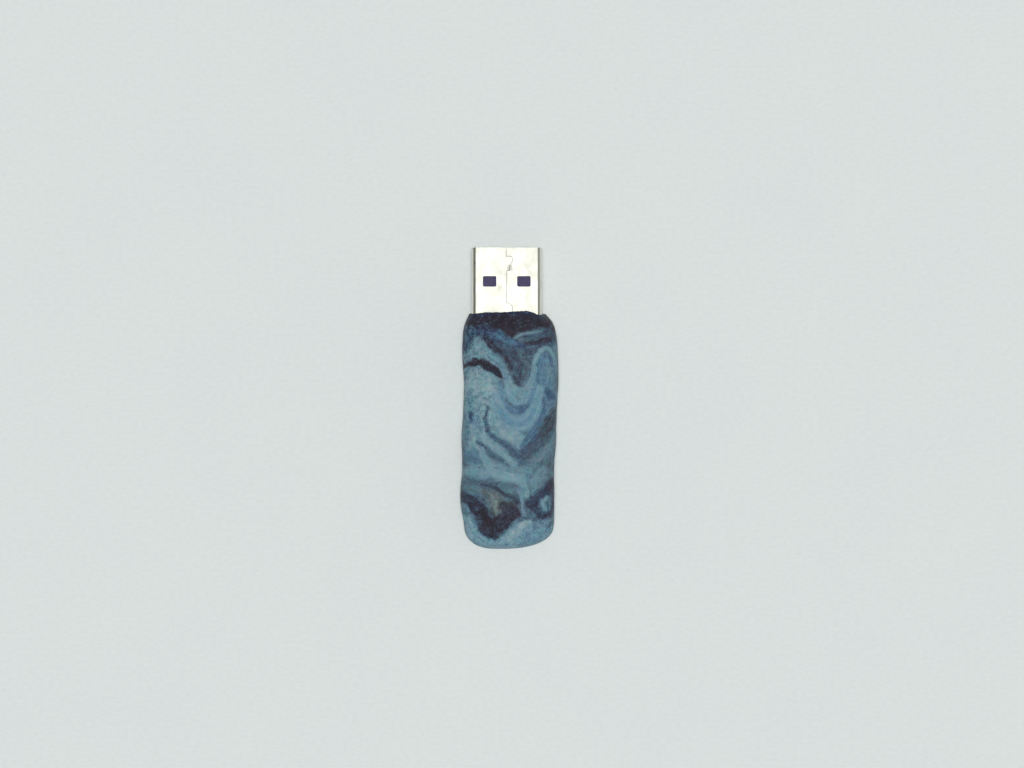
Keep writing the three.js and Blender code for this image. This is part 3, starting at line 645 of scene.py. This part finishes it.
    (0.22, 0.5, 0.6, [(-1.3, 32.6, 0.7), (0.2, 33.0, 0.9), (1.4, 33.5, 0.5)]),
    (0.40, -0.1, 0.7, [(-9.0, 28.7, 0.2), (-6.6, 28.3, 0.2), (-4.8, 28.7, 0.22)]),
    (0.24, 0.0, 0.6, [(-4.8, 28.9, 0.2), (-3.3, 29.2, 0.36), (-1.9, 29.8, 0.36),
                      (-0.7, 30.9, 0.35), (0.6, 31.3, 0.42), (1.7, 32.4, 0.45)]),
    (0.14, -0.1, 0.35, [(-9.6, 31.2, 1.1), (-7.4, 31.6, 1.0), (-6.0, 32.5, 1.1), (-5.0, 34.0, 1.2),
                        (-4.1, 35.6, 1.45), (-3.1, 36.9, 1.5), (-2.4, 38.1, 0.9)]),
    (0.13, 0.0, 0.35, [(-2.4, 36.8, 1.3), (-1.2, 35.5, 1.3), (0.0, 34.5, 1.15), (1.0, 34.0, 0.9),
                       (1.8, 34.0, 0.4)]),
    (0.04, 0.5, 0.8, [(-4.8, 34.0, 0.5), (-3.4, 36.0, 0.7)]),
    (0.60, 0.9, 0.8, [(-3.2, 30.5, 0.3), (-2.6, 31.9, 0.45), (-2.5, 33.1, 0.35)]),
    # light channel, then the dark patch on the right with its light spot
    (0.66, -0.2, 0.6, [(2.4, 30.2, 0.6), (2.3, 32.0, 0.2), (2.7, 34.2, 0.35)]),
    (0.19, -0.4, 0.45, [(3.6, 32.5, 0.7), (4.9, 31.6, 1.0), (6.4, 30.3, 1.0), (7.6, 29.0, 0.9),
                        (9.0, 28.2, 0.6)]),
    (0.19, -0.3, 0.45, [(4.3, 33.0, 0.6), (5.4, 34.2, 0.8), (7.0, 34.3, 0.9), (8.2, 32.2, 1.1),
                        (9.0, 30.2, 0.9)]),
    (0.12, -0.2, 0.8, [(6.6, 29.9, 0.4), (7.8, 28.9, 0.5)]),
    (0.72, 0.0, 0.9, [(6.5, 31.2, 0.3), (5.8, 32.2, 0.4), (6.0, 33.1, 0.45)]),
    (0.50, -0.3, 0.8, [(7.0, 31.6, 0.35), (6.9, 33.2, 0.3)]),
    # tail
    (0.80, -0.35, 0.4, [(-9.2, 34.6, 0.8), (-7.4, 35.9, 1.1), (-6.3, 37.6, 1.3), (-4.4, 39.7, 1.4),
                        (-1.6, 40.2, 1.6), (1.0, 39.2, 1.9), (3.0, 37.8, 2.0)]),
    (0.67, -0.35, 0.5, [(3.6, 38.6, 1.8), (6.0, 37.2, 1.8), (9.0, 36.0, 1.2)]),
    (0.92, 0.1, 0.7, [(0.0, 38.4, 0.5), (1.2, 37.0, 0.8), (2.2, 35.9, 0.6), (3.6, 35.4, 0.3)]),
    (0.84, -0.1, 0.8, [(-7.0, 35.2, 0.4), (-6.3, 37.2, 0.5)]),
    (0.62, -0.6, 0.8, [(2.8, 37.4, 0.35), (3.6, 38.6, 0.5), (5.4, 38.2, 0.5)]),
    (0.52, -0.4, 0.8, [(6.6, 36.2, 0.5), (8.2, 35.4, 0.5)]),
    (0.46, -0.5, 0.9, [(-5.9, 40.4, 0.35), (-2.0, 41.5, 0.4), (2.0, 41.2, 0.5), (5.4, 40.0, 0.4)]),
]


def marble(points):
    """Tone, warmth and layer phase of the marbling at each point (across, behind mouth, depth)."""
    def waver(start):
        return (0.32 * smooth_noise(points, 3.1, start)
                + 0.14 * smooth_noise(points, 0.9, start + 3)
                + 0.07 * smooth_noise(points, 0.35, start + 5))

    place = points[:, :2] + np.column_stack([waver(1.3), waver(7.7)])
    wobble = 1 + 0.28 * smooth_noise(points, 1.7, 8.4)
    tone = 0.50 + 0.16 * smooth_noise(points, 2.2, 3.0)
    warmth = 0.3 * smooth_noise(points, 3.0, 5.0)
    phase = 2.0 * smooth_noise(points, 5.0, 6.0)
    for level, heat, softness, knots in STROKES:
        cover, offset = stroke_cover(place, knots, softness, wobble)
        tone += (level - tone) * cover
        warmth += (heat - warmth) * cover
        phase += (offset - phase) * cover
    return tone, warmth, phase


def wrapping_layers(points):
    """Tone, warmth and phase of the layers that wrap round the sides and the tail."""
    fold = 3.0 * smooth_noise(points, 8.0, 4.7) + 1.0 * smooth_noise(points, 2.8, 9.3)
    layer = points @ np.array([0.45, 0.25, 1.0]) + fold
    tone = 0.50 + 0.26 * np.sin(1.7 * layer) + 0.13 * np.sin(3.9 * layer + 1.0)
    warmth = 0.5 * np.sin(1.1 * layer + 0.7) - 0.2
    return tone, warmth, 0.6 * layer


# ------------------------------------------------------------------ meshes


def make_object(name, vertices_mm, faces, material, smooth=True):
    """Puts a piece in the scene: a mesh with a material, from points in millimetres."""
    mesh = bpy.data.meshes.new(name)
    mesh.from_pydata((np.asarray(vertices_mm) * MM).tolist(), [], faces)
    mesh.validate()
    mesh.update()
    mesh.shade_smooth() if smooth else mesh.shade_flat()
    mesh.materials.append(material)
    piece = bpy.data.objects.new(name, mesh)
    bpy.context.scene.collection.objects.link(piece)
    return piece


def add_attribute(piece, name, values):
    """Gives each point of a piece a value that its material can read."""
    layer = piece.data.attributes.new(name, "FLOAT", "POINT")
    layer.data.foreach_set("value", np.asarray(values, np.float32))


# ------------------------------------------------------------------ clay body

# The clay's mesh is made of rings of points: along the body, over the dome of the tail, which is
# DOME_LENGTH millimetres long, and round the lip, which bulges by LIP_BULGE.
RING_POINTS = 320
BODY_RINGS = 300
DOME_RINGS = 46
DOME_LENGTH = 3.2
LIP_ROWS = 8
LIP_BULGE = 0.18


def surface_tree(node):
    """The CAD node's surface, in millimetres, ready to be hit by rays."""
    mesh = NODES[node].data
    points = [vertex.co / MM for vertex in mesh.vertices]
    return BVHTree.FromPolygons(points, [tuple(face.vertices) for face in mesh.polygons])


def ring_directions():
    """Directions round a section, evenly spread over a shape as squarish as the clay's."""
    angle = np.arange(RING_POINTS) / RING_POINTS * 2 * math.pi + math.pi / 2
    half_width, half_height, squareness = 8.2, 4.3, 2 / 2.9
    x = half_width * np.sign(np.cos(angle)) * np.abs(np.cos(angle)) ** squareness
    z = half_height * np.sign(np.sin(angle)) * np.abs(np.sin(angle)) ** squareness
    return np.column_stack([x, z]) / np.hypot(x, z)[:, None]


def blur(grid, size, axis, wrap):
    """Averages a grid of numbers along one axis with a soft window."""
    reach = int(3 * size)
    window = np.exp(-0.5 * (np.arange(-reach, reach + 1) / size) ** 2)
    window /= window.sum()
    pad = [(0, 0)] * grid.ndim
    pad[axis] = (reach, reach)
    beyond = {"mode": "wrap"} if wrap else {"mode": "reflect", "reflect_type": "odd"}
    padded = np.pad(grid, pad, **beyond)
    total = np.zeros_like(grid)
    for i, share in enumerate(window):
        total += share * np.take(padded, range(i, i + grid.shape[axis]), axis=axis)
    return total


def outer_skin():
    """Distances from the plug's line to the outside of the CAD clay, one row a ring, smoothed."""
    tree = surface_tree("clay_sleeve")
    directions = ring_directions()
    tail_y = CLAY_LOW[1] + 0.03
    angles = np.linspace(0, math.pi / 2, DOME_RINGS + 1)
    dome = tail_y + DOME_LENGTH * (1 - np.sin(angles))
    body = np.linspace(MOUTH_Y - 0.05, dome[0], BODY_RINGS, endpoint=False)
    places = np.concatenate([body, dome])
    radii = np.zeros((len(places), RING_POINTS))
    for row, y in enumerate(places):
        for column, (dx, dz) in enumerate(directions):
            start = Vector((PLUG_X + 30 * dx, y, PLUG_Z + 30 * dz))
            hit = tree.ray_cast(start, Vector((-dx, 0, -dz)))[0]
            radii[row, column] = 0.3 if hit is None else math.hypot(hit.x - PLUG_X, hit.z - PLUG_Z)
    radii = blur(radii, 3.0, axis=1, wrap=True)
    radii[:BODY_RINGS] = blur(radii[:BODY_RINGS], 5.0, axis=0, wrap=False)
    return places, directions, radii


def plug_reach(directions, clearance, corner):
    """Distance from the plug's middle to a rounded rectangle round it, in each direction."""
    half = np.array(PLUG_HALF) + clearance
    low = np.zeros(len(directions))
    high = np.full(len(directions), 20.0)
    for _ in range(40):
        middle = (low + high) / 2
        place = np.abs(directions * middle[:, None])
        past = np.maximum(place - (half - corner), 0)
        inside = (np.hypot(past[:, 0], past[:, 1]) <= corner) & (place <= half).all(axis=1)
        low = np.where(inside, middle, low)
        high = np.where(inside, high, middle)
    return low


# How far the lip of clay reaches past the mouth on the top of the plug: (across, reach).
LIP_LINE = ((-6.8, -0.1), (-5.6, 0.0), (-4.0, 0.05), (-2.0, 0.1), (0.0, 0.18), (1.4, 0.34),
            (2.8, 0.34), (3.8, 0.1), (4.6, -0.15), (5.4, -0.35), (6.4, -0.5))


def clay_grid():
    """Rows of points from the tail, over the outside, round the lip and down into the pocket."""
    places, directions, radii = outer_skin()
    y_rows = [np.full(RING_POINTS, y) for y in places[::-1]]
    r_rows = list(radii[::-1])
    hug = plug_reach(directions, clearance=0.04, corner=0.84)
    wall = plug_reach(directions, clearance=0.15, corner=0.95)
    rim = r_rows[-1]
    for turn in np.linspace(0, math.pi / 2, LIP_ROWS + 1)[1:]:
        share = 1 - math.cos(turn)
        y_rows.append(np.full(RING_POINTS, MOUTH_Y + LIP_BULGE * math.sin(turn) ** 0.8))
        r_rows.append(rim + (hug - rim) * share ** 0.9)
    pocket_end = BOARD_LOW[1] - 0.4
    for depth in (0.1, 0.5, 1.1, 4.0, 12.0, 24.0):
        y_rows.append(np.full(RING_POINTS, MOUTH_Y - depth))
        r_rows.append(hug if depth < 1 else wall)
    for share in (1.0, 0.9, 0.5, 0.1):
        y_rows.append(np.full(RING_POINTS, pocket_end))
        r_rows.append(wall * share)
    y = np.array(y_rows)
    r = np.array(r_rows)
    x = PLUG_X + r * directions[:, 0]
    z = PLUG_Z + r * directions[:, 1]
    skin_rows = len(places)
    lip_rows = skin_rows + LIP_ROWS
    return np.stack([x, y, z], axis=2), skin_rows, lip_rows


def unrolled(grid):
    """Distance round the clay from the middle of its top, the same as x where the top is flat."""
    x, z = grid[:, :, 0], grid[:, :, 2]
    middle = RING_POINTS // 2
    step = np.hypot(np.diff(x, axis=1, append=x[:, :1]), np.diff(z, axis=1, append=z[:, :1]))
    across = np.zeros_like(x)
    across[:, 0] = x[:, 0]
    flat_edge = 7.0
    for side, columns in ((-1, range(1, middle + 1)), (1, range(RING_POINTS - 1, middle, -1))):
        before = 0
        for column in columns:
            stretch = step[:, before] if side < 0 else step[:, column]
            plain = np.abs(x[:, column]) < flat_edge
            on_top = plain & (z[:, column] > PLUG_Z)
            across[:, column] = np.where(on_top, x[:, column], across[:, before] + side * stretch)
            before = column
    return across


def blended(first, second, share):
    """Each of the first fields of numbers mixed with its match in the second."""
    return [a + (b - a) * share for a, b in zip(first, second)]


def clay_marbling(points, layout, low):
    """Tone, warmth and phase at each point: strokes above, wrapping layers where low is 1."""
    across, behind = layout[:, 0], layout[:, 1]
    # Underneath, the strokes run end for end, and the two layouts meet in a wavy fold.
    underneath = np.column_stack([0.8 - 0.95 * points[:, 0], 38.0 - behind,
                                  np.full(len(points), 9.0)])
    fold = 12.6 + 0.9 * smooth_noise(layout, 4.0, 2.5) + 0.25 * smooth_noise(layout, 1.1, 6.5)
    share = np.clip((np.abs(across) - fold) / 0.5 + 0.5, 0, 1)
    share = share * share * (3 - 2 * share)
    strokes = blended(marble(layout), marble(underneath), share)
    tone_round, warmth_round, phase_round = wrapping_layers(points)
    tone, warmth = blended(strokes[:2], (tone_round, warmth_round), 0.85 * low)
    phase, = blended(strokes[2:], (phase_round,), low)
    # The dark clay of the mouth carries on round its sides.
    mouth_edge = 1.5 + 0.5 * smooth_noise(layout, 1.6, 3.1)
    mouth_dark = np.clip((mouth_edge - behind) / 0.8, 0, 1) * (np.abs(across) > 6)
    tone = tone + (0.06 - tone) * mouth_dark
    return tone, warmth, phase


def clay_grain_and_glints(layout, low):
    """How grainy the clay's tone is: grainier on its left and at the tail, and at the mouth, where
    the extra grain is painted glints of its glossy wrinkles.
    """
    across, behind = layout[:, 0], layout[:, 1]
    left = np.clip((-1.5 - across) / 2.5, 0, 1) * np.clip((24.0 - behind) / 4.0, 0, 1)
    # Painted glints: the grain at the mouth is raised to stand for glints on the glossy wrinkles
    # of its dark clay.
    mouth_glints = np.clip(1.0 - (behind - 1.4) / 1.6, 0, 1)
    tail = np.clip((behind - 31.0) / 4.0, 0, 1) * (1 - 0.6 * low)
    extra = np.max([1.1 * left, 1.5 * mouth_glints, 0.75 * tail], axis=0)
    return 0.75 + extra + 0.2 * smooth_noise(layout, 4.5, 9.9)


def add_lumps(points, behind, on_skin, tone):
    """Moves the skin in and out: hand-moulded lumps, and layers a hair proud of each other."""
    away = points - (PLUG_X, 0, PLUG_Z)
    away[:, 1] = 0
    away /= np.maximum(np.linalg.norm(away, axis=1), 1e-6)[:, None]
    inland = on_skin * np.clip((behind - 0.1) / 1.2, 0, 1)
    off_floor = np.clip((points[:, 2] - 0.02) / 0.8, 0, 1)
    lump = (0.11 * smooth_noise(points, 5.2, 1.7) + 0.045 * smooth_noise(points, 1.9, 5.7)
            + 0.012 * smooth_noise(points, 0.7, 8.8) + 0.03 * (tone - 0.5))
    points += away * (lump * inland * off_floor)[:, None]


def fray_lip(points, behind, on_outside):
    """Moves the rim of the mouth to its ragged line on the plug."""
    reach = np.interp(points[:, 0], *zip(*LIP_LINE))
    on_top = np.clip((points[:, 2] - PLUG_Z) / 1.5, 0, 1)
    ragged = (reach * on_top + 0.10 * smooth_noise(points, 0.9, 4.4)
              + 0.05 * smooth_noise(points, 0.35, 1.2))
    near_mouth = np.clip(1 - behind / 1.6, 0, 1)
    points[:, 1] += ragged * near_mouth * on_outside


def tube_faces(rings):
    """Faces between each ring of points and the next, with a cap at either end."""
    faces = []
    for ring in range(rings - 1):
        first = ring * RING_POINTS
        for column in range(RING_POINTS):
            after = (column + 1) % RING_POINTS
            faces.append((first + column, first + RING_POINTS + column,
                          first + RING_POINTS + after, first + after))
    faces.append(tuple(range(RING_POINTS)))
    faces.append(tuple(range((rings - 1) * RING_POINTS, rings * RING_POINTS))[::-1])
    return faces


def clay_body():
    """The moulded clay, with its marbling, lumps and ragged lip."""
    grid, skin_rows, lip_rows = clay_grid()
    points = grid.reshape(-1, 3).copy()
    ring = np.repeat(np.arange(len(grid)), RING_POINTS)
    behind = MOUTH_Y - points[:, 1]
    layout = np.column_stack([unrolled(grid).ravel(), behind, np.zeros(len(points))])
    # 0 on the top and at the mouth, 1 low on the sides and underneath.
    low = np.clip((6.0 - points[:, 2]) / 2.2, 0, 1) * np.clip((behind - 1.2) / 1.5, 0, 1)
    tone, warmth, phase = clay_marbling(points, layout, low)
    grain_and_glints = clay_grain_and_glints(layout, low)
    add_lumps(points, behind, ring < skin_rows, tone)
    fray_lip(points, behind, ring < lip_rows)
    points[:, 2] = np.maximum(points[:, 2], 0)
    piece = make_object("clay_body", points, tube_faces(len(grid)), clay_material())
    for name, values in (("tone", tone), ("warmth", warmth), ("phase", phase), ("grain_and_glints", grain_and_glints)):
        add_attribute(piece, name, values)
    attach(piece, "root")
    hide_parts("clay_sleeve")


# ------------------------------------------------------------------ plug


def softened_copy(node, name, material, edge_mm):
    """A finer piece in place of a CAD node: the same shape with its sharp edges rounded off."""
    shape = bmesh.new()
    shape.from_mesh(NODES[node].data)
    bmesh.ops.scale(shape, vec=(1 / MM,) * 3, verts=shape.verts)
    bmesh.ops.remove_doubles(shape, verts=shape.verts, dist=0.002)
    bmesh.ops.dissolve_limit(shape, angle_limit=math.radians(1),
                             verts=shape.verts, edges=shape.edges)
    sharp = [edge for edge in shape.edges
             if len(edge.link_faces) == 2 and edge.calc_face_angle(0) > math.radians(35)]
    bmesh.ops.bevel(shape, geom=sharp, offset=edge_mm, offset_type="OFFSET", segments=2,
                    profile=0.5, affect="EDGES", clamp_overlap=True)
    bmesh.ops.scale(shape, vec=(MM,) * 3, verts=shape.verts)
    mesh = bpy.data.meshes.new(name)
    shape.to_mesh(mesh)
    shape.free()
    mesh.materials.append(material)
    mesh.shade_smooth()
    mesh.set_sharp_from_angle(angle=math.radians(50))
    # A face that slopes a little lengthwise, such as the floor of the dent, is shaded flat.
    for face in mesh.polygons:
        if abs(face.normal.x) < 0.001 and 0.97 < face.normal.z < 0.9995:
            face.use_smooth = False
    piece = bpy.data.objects.new(name, mesh)
    bpy.context.scene.collection.objects.link(piece)
    flat_faces = piece.modifiers.new("flat_faces", "WEIGHTED_NORMAL")
    flat_faces.keep_sharp = True
    flat_faces.weight = 100
    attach(piece, "root")
    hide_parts(node)


def dress(node, material):
    """Gives a CAD node that keeps its shape a better material."""
    mesh = NODES[node].data
    if not mesh.materials:
        mesh.materials.append(material)
    for i in range(len(mesh.materials)):
        mesh.materials[i] = material


# ------------------------------------------------------------------ build

bpy.context.scene.view_settings.view_transform = "Standard"
make_camera()
make_world(linear(240, 243, 243), side_light=0.4)
make_lamp(softness=12, energy=2.18)
make_card(place=(0.002, 0.002, 0.60), size=0.29, energy=0.335)

FAR = 900
FLOOR_GAP = 0.01
floor = make_object("floor", [(-FAR, -FAR, 0), (FAR, -FAR, 0), (FAR, FAR, 0), (-FAR, FAR, 0)],
                    [(0, 1, 2, 3)], paper_material(), smooth=False)
floor.location.z = -FLOOR_GAP * MM

clay_body()

steel = metal_material("plug_steel", linear(236, 236, 223), roughness=0.30, wear=0.06)
black = plastic_material("insulator_black", linear(74, 68, 100), roughness=0.55)
gold = metal_material("contact_gold", linear(232, 190, 104), roughness=0.26)
softened_copy("plug_shell", "plug_shell_sheet", steel, edge_mm=0.03)
softened_copy("plug_insulator", "plug_insulator_moulding", black, edge_mm=0.06)
for contact in ("vbus", "data_minus", "data_plus", "ground"):
    softened_copy(f"contact_{contact}", f"contact_strip_{contact}", gold, edge_mm=0.04)

dress("circuit_board", board_material())
dress("memory_chip", leaded_material("memory_black", "memory_chip",
                                     linear(38, 38, 41), body_half=(6.05, 9.25)))
dress("controller_chip", leaded_material("controller_black", "controller_chip",
                                         linear(34, 35, 38), body_half=(3.52, 3.52)))
dress("voltage_regulator", leaded_material("regulator_black", "voltage_regulator",
                                           linear(36, 36, 38), body_half=(1.5, 0.67)))
dress("crystal_can", metal_material("crystal_nickel", linear(206, 207, 206), roughness=0.3))
dress("activity_led", lamp_material())
dress("epoxy_dab", epoxy_material())
solder = metal_material("solder_bright", linear(186, 190, 193), roughness=0.34)
for joint in ("solder_vbus", "solder_data_minus", "solder_data_plus", "solder_ground",
              "shell_solder_left", "shell_solder_right"):
    dress(joint, solder)
for part, cap in (("input_capacitor", 0.4), ("output_capacitor", 0.4), ("memory_capacitor", 0.3),
                  ("crystal_capacitor_1", 0.3), ("crystal_capacitor_2", 0.3)):
    dress(part, capped_material(f"{part}_ceramic", part, linear(178, 148, 108), cap))
for part in ("ferrite_bead", "data_resistor_1", "data_resistor_2", "lamp_resistor"):
    dress(part, capped_material(f"{part}_ceramic", part, linear(38, 38, 42), 0.3))
